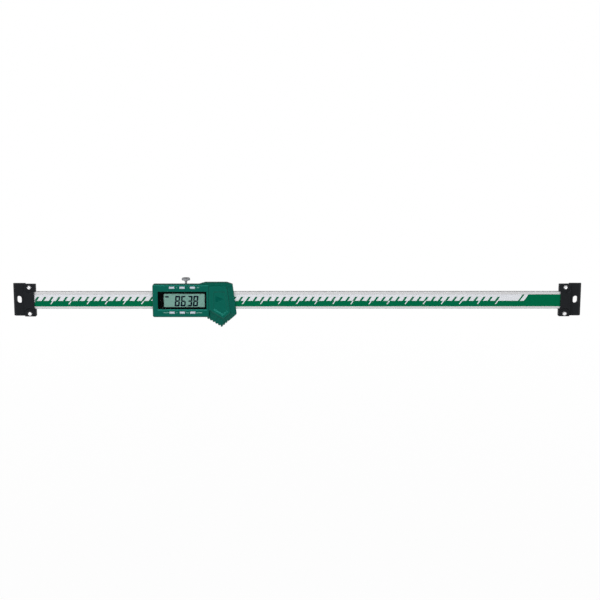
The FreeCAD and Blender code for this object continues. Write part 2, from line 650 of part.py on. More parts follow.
def ledge_outline():
    """Outline of the ledge under the cover, which shows as a rim round it."""
    return inset(pod_base(), [
        COVER_FROM_TOP - COVER_RIM, COVER_FROM_RIGHT - COVER_RIM,
        COVER_FROM_LOWER_RIGHT - COVER_RIM, COVER_FROM_LOWER_LEFT - COVER_RIM, 0])


def pod_bevel():
    """The sloping sides between the battery end's upright wall and the ledge."""
    return taper(pod_base(), WALL_FRONT, ledge_outline(), LEDGE)


def skirt_region(gap):
    """The upright slab at the right end that belongs to the cover, widened by a gap."""
    base = pod_base()
    wall = inset(base, [0, SKIRT_WIDTH + gap, 0, 0, 0])
    (x_top, z_top), (x_low, z_low) = wall[1], wall[2]
    lean = (x_low - x_top) / (z_low - z_top)
    top, low = SKIRT_TOP + gap, SKIRT_BOTTOM - gap
    right = SLIDER_LENGTH + BEYOND
    return [
        (x_top + lean * (top - z_top), top), (right, top),
        (right, low), (x_top + lean * (low - z_top), low),
    ]


def grip_grooves():
    """Cuts that leave ribs along the two lower edges of the battery end."""
    base = pod_base()
    tip = base[3]
    cuts = []
    sides = [
        (base[4], COVER_FROM_LOWER_LEFT, LEFT_RIB_COUNT, 1),
        (base[2], COVER_FROM_LOWER_RIGHT, RIGHT_RIB_COUNT, -1),
    ]
    for end, margin, count, turn in sides:
        run, rise = end[0] - tip[0], end[1] - tip[1]
        length = math.hypot(run, rise)
        along = Vector(run / length, 0, rise / length)
        inward = Vector(turn * rise / length, 0, -turn * run / length)
        reach = margin - 2 * COVER_RIM
        slope = (LEDGE - WALL_FRONT) / (margin - COVER_RIM)
        profile = [
            (-BEYOND, BEYOND), (RIB_DEPTH, BEYOND), (RIB_DEPTH, WALL_FRONT),
            (reach, WALL_FRONT + slope * (reach - RIB_DEPTH)),
            (reach, WALL_FRONT + slope * (reach + RIB_DEPTH)), (-BEYOND, WALL_FRONT - BEYOND),
        ]
        for number in range(count):
            start = RIB_FROM_TIP + number * RIB_PITCH - RIB_GROOVE / 2
            foot = Vector(tip[0], 0, tip[1]) + along * start
            corners = [foot + inward * depth + Vector(0, y, 0) for depth, y in profile]
            cuts.append(flat(corners).extrude(along * RIB_GROOVE))
    return cuts


def pod_body():
    """The battery end of the housing before anything is cut into it."""
    base = pod_base()
    wall = plate(base, FRAME_FRONT, WALL_FRONT)
    grip_top = -FRAME_HALF - GRIP_GAP
    grip = plate(base, FRAME_FRONT + GRIP_BACK, FRAME_FRONT)
    grip = grip.common(block(0, SLIDER_LENGTH + BEYOND, BEYOND, -BEYOND, -2 * BEYOND, grip_top))
    body = wall.fuse(pod_bevel()).fuse(grip)
    rounded = plate(base, FRAME_FRONT + GRIP_BACK, LEDGE)
    for (x, z), radius in ((base[2], POD_CORNER_ROUND), (base[3], POD_TIP_ROUND)):
        rounded = rounded.makeFillet(radius, edges_along(rounded, ALONG_Y, x=x, z=z))
    return body.common(rounded).cut(grip_grooves())


def hump_body():
    """The raised back of the battery end, over the frame, that holds the data port."""
    right_low = POD_TOP - HUMP_END_DROP
    under = FRAME_HALF + GRIP_GAP
    profile = [
        (POD_LEFT, under), (POD_LEFT, HOUSING_TOP), (HUMP_FLAT_LEFT, POD_TOP),
        (HUMP_FLAT_RIGHT, POD_TOP), (POD_TOP_RIGHT, right_low), (POD_TOP_RIGHT, under),
    ]
    hump = plate(profile, HUMP_REAR, WALL_FRONT)
    corners = (
        [(POD_LEFT, FRAME_FRONT), (HUMP_FLAT_LEFT, HUMP_REAR), (POD_LEFT, HUMP_REAR)],
        [(POD_TOP_RIGHT, FRAME_FRONT), (HUMP_FLAT_RIGHT, HUMP_REAR), (POD_TOP_RIGHT, HUMP_REAR)],
    )
    for corner in corners:
        hump = hump.cut(prism_along_z(corner, 0, BEYOND))
    return hump


def hump_ends():
    """Cuts that slope the two ends of the battery end's top."""
    high = POD_TOP + BEYOND
    left = [(POD_LEFT, HOUSING_TOP), (POD_LEFT, high), (HUMP_FLAT_LEFT, high), (HUMP_FLAT_LEFT, POD_TOP)]
    right_low = POD_TOP - HUMP_END_DROP
    drop = HUMP_END_DROP / (POD_TOP_RIGHT - HUMP_FLAT_RIGHT)
    beyond = POD_TOP_RIGHT + BEYOND
    right = [
        (HUMP_FLAT_RIGHT, POD_TOP), (HUMP_FLAT_RIGHT, high), (beyond, high),
        (beyond, right_low - drop * BEYOND),
    ]
    return [plate(points, BEYOND, -BEYOND) for points in (left, right)]


def display_body():
    """The display part of the housing before anything is cut into it."""
    body = block(0, PANEL_LENGTH, FRAME_FRONT, HOUSING_FRONT, HOUSING_BOTTOM, HOUSING_TOP)
    corners = []
    for z in (HOUSING_BOTTOM, HOUSING_TOP):
        corners += edges_along(body, ALONG_Y, x=0, z=z)
    body = body.makeFillet(HOUSING_CORNER, corners)
    rims = []
    for edge in body.Edges:
        on_front = all(abs(vertex.Y - HOUSING_FRONT) < SAME for vertex in edge.Vertexes)
        at_step = all(abs(vertex.X - PANEL_LENGTH) < SAME for vertex in edge.Vertexes)
        if on_front and not at_step:
            rims.append(edge)
    return body.makeFillet(HOUSING_EDGE, rims)


def rear_lip():
    """The lip along the display part's top that closes the gap above the frame."""
    lip = block(
        HOUSING_CORNER, PANEL_LENGTH, FRAME_FRONT, FRAME_FRONT + LIP_BACK,
        FRAME_HALF + LIP_GAP, HOUSING_TOP - LIP_DROP)
    return lip.cut(post(LOCK_X, LOCK_Y, LOCK_STEM_D / 2 + SCREW_CLEARANCE, 0, HOUSING_TOP))


def window_outline():
    return rectangle(WINDOW_LEFT, WINDOW_RIGHT, WINDOW_BOTTOM, WINDOW_TOP)


def glass_outline():
    return rectangle(GLASS_LEFT, GLASS_RIGHT, GLASS_BOTTOM, GLASS_TOP)


def button_places():
    return [(row, x, z) for row, z in BUTTON_Z.items() for x in BUTTON_X]


def corner_bosses(gap):
    """The two posts in the display part's left corners that take screws, grown by a gap."""
    depth = FRAME_FRONT - BOSS_DEPTH - gap
    posts = []
    for x, z in housing_screw_places():
        if x > CAVITY_RIGHT:
            continue
        inner = z - gap if z > 0 else z + gap
        outer = HOUSING_TOP if z > 0 else HOUSING_BOTTOM
        web = block(0, x + BOSS_R + gap, FRAME_FRONT, depth, inner, outer)
        posts.append(rod(x, z, BOSS_R + gap, FRAME_FRONT, depth).fuse(web))
    return posts


def display_cuts():
    """The space inside the display part, its window and its button holes."""
    inside = block(
        SIDE_WALL, CAVITY_RIGHT, FRAME_FRONT, CAVITY_FRONT,
        HOUSING_BOTTOM + SIDE_WALL, HOUSING_TOP - SIDE_WALL)
    inside = inside.cut(corner_bosses(0))
    window = plate(window_outline(), CAVITY_FRONT, HOUSING_FRONT - BEYOND)
    bevel_back = HOUSING_FRONT + WINDOW_BEVEL_DEPTH
    bevel = taper(
        window_outline(), bevel_back, grown(window_outline(), WINDOW_BEVEL), HOUSING_FRONT)
    cuts = [inside, window, bevel]
    half_width = BUTTON_WIDTH / 2 + BUTTON_GAP
    half_height = BUTTON_HEIGHT / 2 + BUTTON_GAP
    for _, x, z in button_places():
        cuts.append(block(
            x - half_width, x + half_width, CAVITY_FRONT, HOUSING_FRONT - BEYOND,
            z - half_height, z + half_height))
    return cuts


def rail_regions(gap):
    """The battery cover's two T-shaped rails, or their grooves, which have a gap and no right end."""
    right = RAIL_RIGHT if gap == 0 else SLIDER_LENGTH + BEYOND
    neck = RAIL_NECK / 2 + gap
    head = RAIL_HEAD / 2 + gap
    neck_back = COVER_BACK + RAIL_NECK_DEPTH
    head_back = neck_back + RAIL_HEAD_DEPTH
    rails = []
    for z, inset_left in ((UPPER_RAIL_Z, UPPER_RAIL_FROM_LEFT), (LOWER_RAIL_Z, LOWER_RAIL_FROM_LEFT)):
        left = COVER_LEFT + inset_left - gap
        stem = block(left, right, COVER_BACK, neck_back, z - neck, z + neck)
        foot = block(left, right, neck_back - gap, head_back + gap, z - head, z + head)
        rails.append(stem.fuse(foot).removeSplitter())
    return rails


def battery_cuts():
    """The battery's bay, its clip's slot, the cover's grooves and the room for its skirt."""
    bay = rod(BATTERY_X, BATTERY_Z, BAY_R, BOARD_FRONT, LEDGE - BEYOND)
    clip_x = BATTERY_X - BATTERY_D / 2
    half = CLIP_WIDTH / 2 + CLIP_ROOM
    clip = block(
        clip_x - CLIP_THICKNESS - CLIP_ROOM, BATTERY_X, BOARD_FRONT, LEDGE,
        BATTERY_Z - half, BATTERY_Z + half)
    skirt = plate(skirt_region(COVER_GAP), WALL_FRONT, LEDGE - BEYOND)
    return [bay, clip, skirt] + rail_regions(COVER_GAP)


def board_body(gap):
    """The circuit board's outline made solid, grown by a gap for its pocket."""
    back, front = FRAME_FRONT, BOARD_FRONT
    main = block(
        BOARD_LEFT - gap, CAVITY_RIGHT - SEAT_GAP + gap, back, front, BOARD_BOTTOM - gap, BOARD_TOP + gap)
    port_tab = block(
        BOARD_LEFT, PORT_RIGHT + PORT_TAB_MARGIN + gap, back, front, BATTERY_Z, PORT_FOOT + gap)
    reach = BATTERY_D / 2 + BATTERY_TAB_MARGIN + gap
    battery_tab = block(BOARD_LEFT, BATTERY_X + reach, back, front, BATTERY_Z - reach, BATTERY_Z + reach)
    return main.multiFuse([port_tab, battery_tab]).removeSplitter()


def port_region(gap, bottom, top):
    """The data port's well, or its block when shrunk by a gap."""
    return block(PORT_LEFT + gap, PORT_RIGHT - gap, PORT_BACK - gap, PORT_FRONT + gap, bottom, top)


def port_cover_region(left, right, gap):
    """The port cover's stepped section between two ends, grown by a gap."""
    bottom = POD_TOP - PORT_COVER_THICKNESS - gap
    lip_top = POD_TOP - PORT_COVER_THICKNESS + PORT_COVER_LIP_THICKNESS + gap
    narrow = PORT_DEPTH / 2 + gap
    wide = narrow + PORT_COVER_LIP
    lip = block(left, right, PORT_Y - wide, PORT_Y + wide, bottom, lip_top)
    top = POD_TOP if gap == 0 else POD_TOP + BEYOND
    return lip.fuse(block(left, right, PORT_Y - narrow, PORT_Y + narrow, bottom, top)).removeSplitter()


def port_cuts():
    """The data port's well and the track that its cover slides in."""
    well = port_region(0, PORT_FOOT, POD_TOP + BEYOND)
    right = PORT_COVER_RIGHT + PORT_COVER_TRAVEL + COVER_GAP
    return [well, port_cover_region(PORT_COVER_LEFT - COVER_GAP, right, RUN_GAP)]


def front_housing():
    """The moulded housing: display part, battery end and hump, open to the back."""
    pod = pod_body().fuse(hump_body()).cut(hump_ends())
    pod = pod.cut(battery_cuts())
    housing = display_body().multiFuse([pod, rear_lip()])
    housing = housing.cut(display_cuts() + port_cuts() + [board_body(SEAT_GAP)])
    for x, z in housing_screw_places():
        depth = FRAME_FRONT - HOUSING_SCREW_BITE - SCREW_CLEARANCE
        housing = housing.cut(rod(x, z, HOUSING_SCREW_D / 2, FRAME_FRONT, depth))
    return housing.removeSplitter()


def housing_screws():
    """Four screws from the frame's back into the housing."""
    screws = []
    for x, z in housing_screw_places():
        seat = FRAME_BACK - HOUSING_SCREW_HEAD
        head = rod(x, z, HOUSING_SCREW_HEAD_D / 2, FRAME_BACK, seat)
        shank = rod(x, z, HOUSING_SCREW_D / 2 - THREAD_GAP, seat, FRAME_FRONT - HOUSING_SCREW_BITE)
        cross = cross_recess(x, z, FRAME_BACK - CROSS_DEPTH, BEYOND, HOUSING_SCREW_CROSS)
        screws.append(head.fuse(shank).cut(cross).removeSplitter())
    return Part.makeCompound(screws)


def lcd_window():
    """The clear lens in the housing's window."""
    points = grown(window_outline(), -SEAT_GAP)
    return plate(points, CAVITY_FRONT, HOUSING_FRONT + WINDOW_SINK)


def lcd_bezel():
    """The black frame behind the lens that masks the display's edges."""
    outer = grown(window_outline(), BEZEL_FLANGE)
    return plate(outer, CAVITY_FRONT, BEZEL_BACK).cut(plate(glass_outline(), BEYOND, -BEYOND))


def lcd_panel():
    """The liquid-crystal display glass."""
    return plate(grown(glass_outline(), PANEL_MARGIN), BEZEL_BACK, PANEL_BACK)


def zebra_strips():
    """Two rubber connector strips between the display glass and the board."""
    strips = []
    left, right = GLASS_LEFT, GLASS_RIGHT
    top = GLASS_TOP + PANEL_MARGIN - ZEBRA_FROM_EDGE
    bottom = GLASS_BOTTOM - PANEL_MARGIN + ZEBRA_FROM_EDGE
    for middle in (top, bottom):
        low = middle - ZEBRA_WIDTH / 2
        strips.append(block(left, right, PANEL_BACK, BOARD_FRONT, low, low + ZEBRA_WIDTH))
    return Part.makeCompound(strips)


def reader_board():
    """The circuit board: its back reads the strip, its front carries the display."""
    return board_body(0).cut(corner_bosses(SCREW_CLEARANCE))


def reader_chip():
    """The resin cap over the reader's chip."""
    middle = ((GLASS_LEFT + GLASS_RIGHT) / 2, (GLASS_BOTTOM + GLASS_TOP) / 2)
    foot = square(middle, CHIP_SIZE)
    return taper(foot, BOARD_FRONT, grown(foot, -CHIP_RISE), BOARD_FRONT - CHIP_RISE)


def keypad(row):
    """A silicone strip with a dome under each button of a row."""
    z = BUTTON_Z[row]
    half = BUTTON_HEIGHT / 2
    left, right = BUTTON_X[0] - KEYPAD_MARGIN, BUTTON_X[-1] + KEYPAD_MARGIN
    low, high = max(z - half, BOARD_BOTTOM), min(z + half, BOARD_TOP)
    base_front = BOARD_FRONT - KEYPAD_BASE
    strip = block(left, right, BOARD_FRONT, base_front, low, high)
    domes = []
    for x in BUTTON_X:
        foot = square((x, z), DOME_WIDTH)
        domes.append(taper(foot, base_front, grown(foot, -DOME_INSET), DOME_TOP))
    return strip.multiFuse(domes).removeSplitter()


def button(x, z):
    """One key: a cap in its hole, a shoulder behind the wall and a plunger on its dome."""
    front = HOUSING_FRONT - BUTTON_PROUD
    shoulder_front = CAVITY_FRONT + BUTTON_GAP
    shoulder_back = shoulder_front + BUTTON_SHOULDER_DEPTH
    half_width, half_height = BUTTON_WIDTH / 2, BUTTON_HEIGHT / 2
    cap_outline = rectangle(x - half_width, x + half_width, z - half_height, z + half_height)
    cap = plate(cap_outline, shoulder_back, front + BUTTON_EDGE)
    crown = taper(cap_outline, front + BUTTON_EDGE, grown(cap_outline, -BUTTON_EDGE), front)
    reach = half_width + BUTTON_SHOULDER
    shoulder = block(x - reach, x + reach, shoulder_front, shoulder_back, z - half_height, z + half_height)
    plunger = block(
        x - PLUNGER_WIDTH / 2, x + PLUNGER_WIDTH / 2, shoulder_back, DOME_TOP,
        z - PLUNGER_HEIGHT / 2, z + PLUNGER_HEIGHT / 2)
    return cap.multiFuse([crown, shoulder, plunger]).removeSplitter()


def battery():
    """A button cell with its smaller negative face on the board's contact."""
    radius = BATTERY_D / 2
    cap = radius - BATTERY_STEP_INSET
    profile = [
        (0, 0), (cap, 0), (cap, BATTERY_STEP), (radius, BATTERY_STEP),
        (radius, BATTERY_THICKNESS - BATTERY_EDGE), (radius - BATTERY_EDGE, BATTERY_THICKNESS),
        (0, BATTERY_THICKNESS),
    ]
    return turned(profile, Vector(BATTERY_X, BATTERY_BACK, BATTERY_Z), -ALONG_Y)


def battery_minus_contact():
    """The flat cross-shaped contact under the battery."""
    reach, half = CONTACT_LENGTH / 2, CONTACT_WIDTH / 2
    level = block(
        BATTERY_X - reach, BATTERY_X + reach, BOARD_FRONT, BATTERY_BACK, BATTERY_Z - half, BATTERY_Z + half)
    upright = block(
        BATTERY_X - half, BATTERY_X + half, BOARD_FRONT, BATTERY_BACK, BATTERY_Z - reach, BATTERY_Z + reach)
    return level.fuse(upright).removeSplitter()


def battery_plus_contact():
    """The upright clip that touches the battery's side."""
    x = BATTERY_X - BATTERY_D / 2
    half = CLIP_WIDTH / 2
    return block(
        x - CLIP_THICKNESS, x, BOARD_FRONT, BOARD_FRONT - CLIP_HEIGHT, BATTERY_Z - half, BATTERY_Z + half)


def battery_cover():
    """The sliding cover: dished plate, right skirt and two T-rails, with room for the battery."""
    outline = cover_outline()
    rim = COVER_FRONT + COVER_BEVEL_DEPTH
    slab = plate(outline, COVER_BACK, rim)
    top = inset(outline, [COVER_BEVEL] * len(outline))
    crown = taper(outline, rim, top, COVER_FRONT)
    end = pod_bevel().fuse(plate(ledge_outline(), LEDGE, COVER_BACK))
    skirt = end.common(plate(skirt_region(0), WALL_FRONT - COVER_GAP, COVER_BACK))
    cover = slab.multiFuse([crown, skirt] + rail_regions(0))
    dish = inset(outline, [
        DISH_FROM_TOP, DISH_FROM_RIGHT, DISH_FROM_LOWER, DISH_FROM_LOWER, DISH_FROM_LEFT])
    floor = inset(dish, [DISH_INSET, DISH_INSET, DISH_LOWER_INSET, DISH_LOWER_INSET, DISH_INSET])
    cover = cover.cut(taper(dish, COVER_FRONT, floor, DISH_FLOOR))
    left, top = floor[0][0] + ARROW_FROM_LEFT, floor[0][1] - ARROW_FROM_TOP
    arrow = [(left, top), (left + ARROW_LENGTH, top - ARROW_HEIGHT / 2), (left, top - ARROW_HEIGHT)]
    cover = cover.cut(plate(arrow, DISH_FLOOR + ARROW_DEPTH, COVER_FRONT))
    room = block(
        0, BATTERY_X + BAY_R, COVER_BACK + BEYOND, BATTERY_FRONT - SEAT_GAP,
        BATTERY_Z - BAY_R, BATTERY_Z + BAY_R)
    return cover.cut(room).removeSplitter()


def data_port():
    """The port's insulating block, seated in its well."""
    return port_region(SEAT_GAP, PORT_FOOT + SEAT_GAP, PORT_FOOT + PORT_RISE)


def port_contacts():
    """The port's row of gold contacts."""
    pins = []
    pitch = PORT_LENGTH / (PIN_COUNT + 1)
    bottom = PORT_FOOT + PORT_RISE
    half = PIN_WIDTH / 2
    for number in range(PIN_COUNT):
        x = PORT_LEFT + (number + 1) * pitch
        pins.append(block(x - half, x + half, PORT_Y - half, PORT_Y + half, bottom, bottom + PIN_RISE))
    return Part.makeCompound(pins)


def port_cover():
    """The small stepped slide over the data port, flush with the hump."""
    return port_cover_region(PORT_COVER_LEFT, PORT_COVER_RIGHT, 0)


def save(name, shape):
    shape.exportStep(os.path.join("parts", name + ".step"))


def main():
    os.makedirs("parts", exist_ok=True)
    fixed = {
        "beam": beam(),
        "scale_strip": scale_strip(),
        "scale_label": scale_label(),
        "right_bracket_base": bracket_base(),
        "right_bracket_clamp": bracket_clamp(),
        "left_bracket_base": mirrored(bracket_base()),
        "left_bracket_clamp": mirrored(bracket_clamp()),
        "bracket_screws": bracket_screws(),
    }
    sliding = {
        "slider_frame": slider_frame(),
        "gib_strip": gib_strip(),
        "gib_screws": gib_screws(),
        "lock_screw": lock_screw(),
        "front_housing": front_housing(),
        "housing_screws": housing_screws(),
        "lcd_window": lcd_window(),
        "lcd_bezel": lcd_bezel(),
        "lcd_panel": lcd_panel(),
        "zebra_strips": zebra_strips(),
        "reader_board": reader_board(),
        "reader_chip": reader_chip(),
        "keypad_upper": keypad("upper"),
        "keypad_lower": keypad("lower"),
        "battery": battery(),
        "battery_minus_contact": battery_minus_contact(),
        "battery_plus_contact": battery_plus_contact(),
        "battery_cover": battery_cover(),
        "data_port": data_port(),
        "port_contacts": port_contacts(),
        "port_cover": port_cover(),
    }
    for row, z in BUTTON_Z.items():
        for number, x in enumerate(BUTTON_X, 1):
            sliding[f"button_{row}_{number}"] = button(x, z)
    for name, shape in fixed.items():
        save(name, shape)
    for name, shape in sliding.items():
        save(name, on_slider(shape))


main()
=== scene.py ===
import json
import math

import bmesh
import bpy
from mathutils import Euler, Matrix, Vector

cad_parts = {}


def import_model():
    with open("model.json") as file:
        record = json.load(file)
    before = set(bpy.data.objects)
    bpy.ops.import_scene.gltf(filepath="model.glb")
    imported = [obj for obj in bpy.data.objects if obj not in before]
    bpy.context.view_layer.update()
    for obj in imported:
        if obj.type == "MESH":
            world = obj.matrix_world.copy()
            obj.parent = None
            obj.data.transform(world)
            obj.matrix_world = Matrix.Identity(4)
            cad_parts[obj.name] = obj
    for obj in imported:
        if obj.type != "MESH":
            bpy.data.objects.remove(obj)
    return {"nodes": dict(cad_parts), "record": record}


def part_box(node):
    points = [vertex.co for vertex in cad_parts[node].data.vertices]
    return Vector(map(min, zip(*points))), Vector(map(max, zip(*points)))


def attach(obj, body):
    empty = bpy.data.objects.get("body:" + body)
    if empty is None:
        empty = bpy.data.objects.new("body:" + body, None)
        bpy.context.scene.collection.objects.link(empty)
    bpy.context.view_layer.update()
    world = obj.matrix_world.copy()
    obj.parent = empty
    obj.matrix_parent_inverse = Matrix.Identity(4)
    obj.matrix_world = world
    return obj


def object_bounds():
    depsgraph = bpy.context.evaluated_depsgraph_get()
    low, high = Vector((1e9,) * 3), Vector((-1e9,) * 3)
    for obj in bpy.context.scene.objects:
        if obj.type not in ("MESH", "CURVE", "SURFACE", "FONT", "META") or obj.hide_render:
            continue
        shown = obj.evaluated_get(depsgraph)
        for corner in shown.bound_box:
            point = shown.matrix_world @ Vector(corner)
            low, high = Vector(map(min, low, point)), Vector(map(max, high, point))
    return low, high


# The looks of a digital linear scale: printed label, display, button marks, finishes and light.
# Lengths are in metres, the small ones written as millimetres times MM. Z is up, and fronts face -Y.

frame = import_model()
CAD_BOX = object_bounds()
MM = 0.001

# Camera: a long lens from the front, a little above; angles in radians
IMAGE_WIDTH = 600
FOCAL_PIXELS = 1300
SENSOR_MM = 36.0
CAMERA_PLACE = (-0.005835, -1.17045, 0.223900)
CAMERA_PITCH = 0.18996
CAMERA_ROLL = -0.0009
CAMERA_YAW = -0.00668

# Stage and light
WHITE = (1.0, 1.0, 1.0, 1.0)
FLOOR_BELOW = 0.31      # from the object's lowest point down to the floor
FLOOR_SIZE = 12.0
FLOOR_COLOUR = (0.35, 0.35, 0.35, 1.0)
FLOOR_ROUGHNESS = 0.9
FLOOR_GLOW = 0.975      # share of plain white in the floor near the object
FLOOR_NEAR = 0.45       # distances from the origin where the floor starts to whiten and is plain white
FLOOR_FAR = 1.5
AMBIENT = 0.22          # brightness of the surroundings where they light the object
CEILING_LEVEL = 0.08    # brightness of the ceiling in reflections
CEILING_START = 0.0     # heights of a reflected ray where the ceiling begins and is full
CEILING_FULL = 0.10
LAMPS = {
    # name: place, width, height, power in watts
    "key_light": ((-0.2, -1.40, 1.03), 1.6, 1.2, 29.2),
    "front_strip": ((-0.22, -1.66, 0.54), 1.9, 0.18, 3.3),
    "left_back_light": ((-1.1, 0.85, 1.1), 1.0, 1.0, 7.0),
    "right_back_light": ((1.1, 0.85, 1.1), 1.0, 1.0, 7.0),
}

# Wear and edges in the finishes; the lighter edges are rubbed wear, and on the black brackets partly a
# painted highlight
BEVEL_SAMPLES = 6
EDGE_START = 0.995      # cosines of the normal's turn where an edge begins to show and shows in full
EDGE_FULL = 0.9
WEAR_PATCH = 2.0 * MM
WEAR_LEAST = 0.15       # share of the wear that is left between the patches
SCRATCH_WIDTH = 0.12 * MM
SCRATCH_STRETCH = 60    # length of a scratch over its width

# Label print: a left and a right run of marks, closed up evenly under the slider at rest
PRINT_THICKNESS = 0.03 * MM
TICK_PITCH = 6.496 * MM
TICK_WIDTH = 2.1 * MM
NOTCH_PITCH = 2.54 * TICK_PITCH
NOTCH_WIDTH = 1.08 * MM
PRINT_SLANT = 0.70          # sideways over height
TICK_TOP = 3.2 * MM
BAND_TOP = -0.55 * MM
NOTCH_BOTTOM = -3.6 * MM
PRINT_OVERLAP = 0.36 * MM   # the band runs this far below the label, onto the beam's face
LEFT_RUN_END, RIGHT_RUN_START = -130.0 * MM, -58.0 * MM
LEFT_TICK, LEFT_NOTCH = -185.3 * MM, -190.7 * MM
RIGHT_TICK, RIGHT_NOTCH = 65.25 * MM, 66.1 * MM
LAST_TICK = 184.0 * MM
LONE_TICK = 201.9 * MM
LONE_TICK_WIDTH = 1.7 * MM
SOLID_START = 206.4 * MM

# Display: four figures, a point and a minus sign
INK_THICKNESS = 0.02 * MM
FIGURES = "8638"
DIGIT_MIDDLES = (-109.05 * MM, -103.65 * MM, -97.8 * MM, -92.5 * MM)
DIGIT_TOP = 5.1 * MM
DIGIT_BOTTOM = -4.65 * MM
DIGIT_WIDTH = 4.6 * MM
DIGIT_SLANT = 0.09          # sideways over height
STROKE = 1.45 * MM
CORNER_CUT = 0.6 * MM       # off the outer corners of a figure
SEGMENT_GAP = 0.08 * MM
POINT_MIDDLE = -100.75 * MM
POINT_SIZE = 0.7 * MM
SIGN_MIDDLE = -118.5 * MM
SIGN_TOP = 4.9 * MM
SIGN_WIDTH = 3.2 * MM
SIGN_HEIGHT = 1.5 * MM

# Lit strokes of each figure: a to f go clockwise round it from the top, and g is the middle one
SEGMENTS = {
    "0": "abcdef", "1": "bc", "2": "abged", "3": "abgcd", "4": "fgbc",
    "5": "afgcd", "6": "afgedc", "7": "abc", "8": "abcdefg", "9": "abcdfg",
}

# Marks beside the buttons: words, left end, foot and height of the letters
WINDOW_SINK = 0.2 * MM      # the lens lies this far behind the housing's front
LEGEND_THICKNESS = 0.02 * MM
LEGEND_BOLDNESS = 0.03      # share of the letters' size
LETTER_DEPTH = 0.5          # each way from the letters' plane, before they are laid on the housing
CAPITAL_HEIGHT = 0.7        # of the built-in letters at size 1
LETTER_CURVE_STEPS = 2
LEGENDS = {
    "legend_plus": ("+", -109.9 * MM, 12.5 * MM, 1.2 * MM),
    "legend_minus": ("-", -100.3 * MM, 12.5 * MM, 1.2 * MM),
    "legend_set": ("SET", -91.2 * MM, 12.5 * MM, 1.0 * MM),
    "legend_on_off": ("ON/OFF", -122.0 * MM, -10.5 * MM, 1.0 * MM),
    "legend_zero": ("0", -110.0 * MM, -10.6 * MM, 1.2 * MM),
    "legend_tol": ("TOL", -101.4 * MM, -10.5 * MM, 1.0 * MM),
    "legend_mm_in": ("mm/inch", -92.0 * MM, -10.5 * MM, 1.1 * MM),
}

# Painted shade in the arrow recess on the battery cover: its place from the cover's left, top and front
ARROW_FROM_LEFT = 6.0 * MM
ARROW_FROM_TOP = 9.1 * MM
ARROW_FROM_FRONT = 0.7 * MM
ARROW_LENGTH = 7.4 * MM
ARROW_HEIGHT = 6.4 * MM
ARROW_MARGIN = 0.2 * MM     # bare rim at the arrow's back; it is twice as wide at the point and corners

# Plus sign on the battery
BATTERY_MARK = 3.6 * MM
BATTERY_MARK_STROKE = 0.7 * MM


def linear(red, green, blue):
    """An sRGB colour out of 255 as the linear colour that shaders take."""
    values = []
    for value in (red, green, blue):
        share = value / 255
        values.append(share / 12.92 if share <= 0.04045 else ((share + 0.055) / 1.055) ** 2.4)
    return (*values, 1.0)


def shade(colour, factor):
    """A colour made lighter or darker by a factor."""
    return (*(channel * factor for channel in colour[:3]), 1.0)


def add_node(tree, kind, inputs, **settings):
    """A new shader node whose inputs, given by name or number, are linked to sockets or set to values."""
    node = tree.nodes.new(kind)
    for setting, value in settings.items():
        setattr(node, setting, value)
    for socket, value in inputs.items():
        if isinstance(value, bpy.types.NodeSocket):
            tree.links.new(value, node.inputs[socket])
        else:
            node.inputs[socket].default_value = value
    return node


def combined(tree, operation, first, second):
    """The result of an operation on two numbers."""
    return add_node(tree, "ShaderNodeMath", {0: first, 1: second}, operation=operation).outputs["Value"]


def ranged(tree, value, start, end, low, high):
    """A number that goes from low to high as a value goes from start to end."""
    ends = {"From Min": start, "From Max": end, "To Min": low, "To Max": high}
    return add_node(tree, "ShaderNodeMapRange", {"Value": value, **ends}).outputs["Result"]


def mixed_numbers(tree, share, low, high):
    """A number that is low where a share is 0 and high where it is 1."""
    # Inputs 2 and 3 of a Mix node are its two numbers, and output 0 is their mix
    return add_node(tree, "ShaderNodeMix", {"Factor": share, 2: low, 3: high}).outputs[0]


def mixed_colours(tree, share, low, high):
    """A colour that is low where a share is 0 and high where it is 1."""
    # Inputs 6 and 7 of a Mix node are its two colours, and output 2 is their mix
    return add_node(tree, "ShaderNodeMix", {"Factor": share, 6: low, 7: high}, data_type="RGBA").outputs[2]


